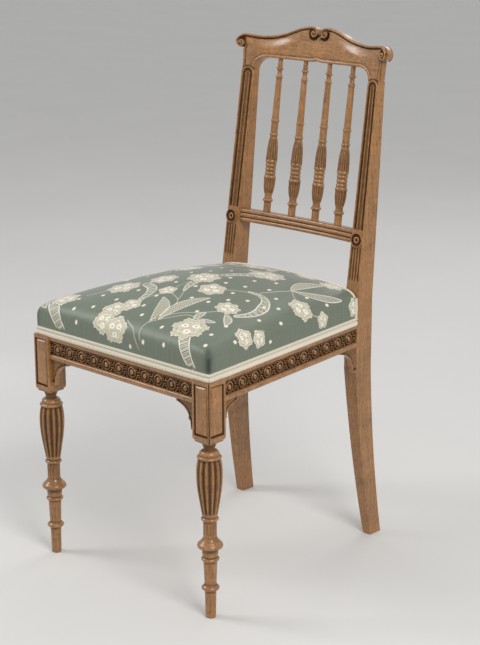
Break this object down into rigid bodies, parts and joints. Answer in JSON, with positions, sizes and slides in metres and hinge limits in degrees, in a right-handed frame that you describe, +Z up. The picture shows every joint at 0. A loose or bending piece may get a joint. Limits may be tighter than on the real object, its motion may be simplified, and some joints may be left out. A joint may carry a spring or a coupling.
{
  "type": "side chair",
  "caption": "Armless parlour side chair with turned reeded front legs, sabre rear legs, spindle back under a scrolled crest and a stuffed silk seat.",
  "frame": {"origin": "on the floor under the middle of the chair's width and depth", "axes": "+Z up, the chair faces -Y, +X to the sitter's left"},
  "size_m": [0.4214, 0.5048, 0.8861],
  "materials": {
    "show_wood": "waxed polish",
    "carved_wood": "carved, waxed polish",
    "corner_wood": "sawn",
    "webbing": "woven jute",
    "hessian": "open weave",
    "stuffing": "stitched hair",
    "seat_silk": "figured silk satin",
    "braid": "silk braid"
  },
  "bodies": {
    "root": {"front_leg_left": "show_wood", "front_leg_right": "show_wood", "front_rail": "show_wood", "left_rail": "show_wood", "right_rail": "show_wood", "rear_rail": "show_wood", "rear_post_left": "show_wood", "rear_post_right": "show_wood", "stay_rail": "show_wood", "crest_rail": "show_wood", "spindle_1": "show_wood", "spindle_2": "show_wood", "spindle_3": "show_wood", "spindle_4": "show_wood", "rosette_left": "show_wood", "rosette_right": "show_wood", "front_bracket_left": "show_wood", "front_bracket_right": "show_wood", "left_bracket_front": "show_wood", "left_bracket_rear": "show_wood", "right_bracket_front": "show_wood", "right_bracket_rear": "show_wood", "front_frieze": "carved_wood", "left_frieze": "carved_wood", "right_frieze": "carved_wood", "corner_block_front_left": "corner_wood", "corner_block_front_right": "corner_wood", "corner_block_rear_left": "corner_wood", "corner_block_rear_right": "corner_wood", "webbing_across": "webbing", "webbing_along": "webbing", "hessian": "hessian", "seat_stuffing": "stuffing", "seat_cover": "seat_silk", "gimp_front": "braid", "gimp_left": "braid", "gimp_right": "braid", "gimp_back": "braid"}
  },
  "joints": []
}
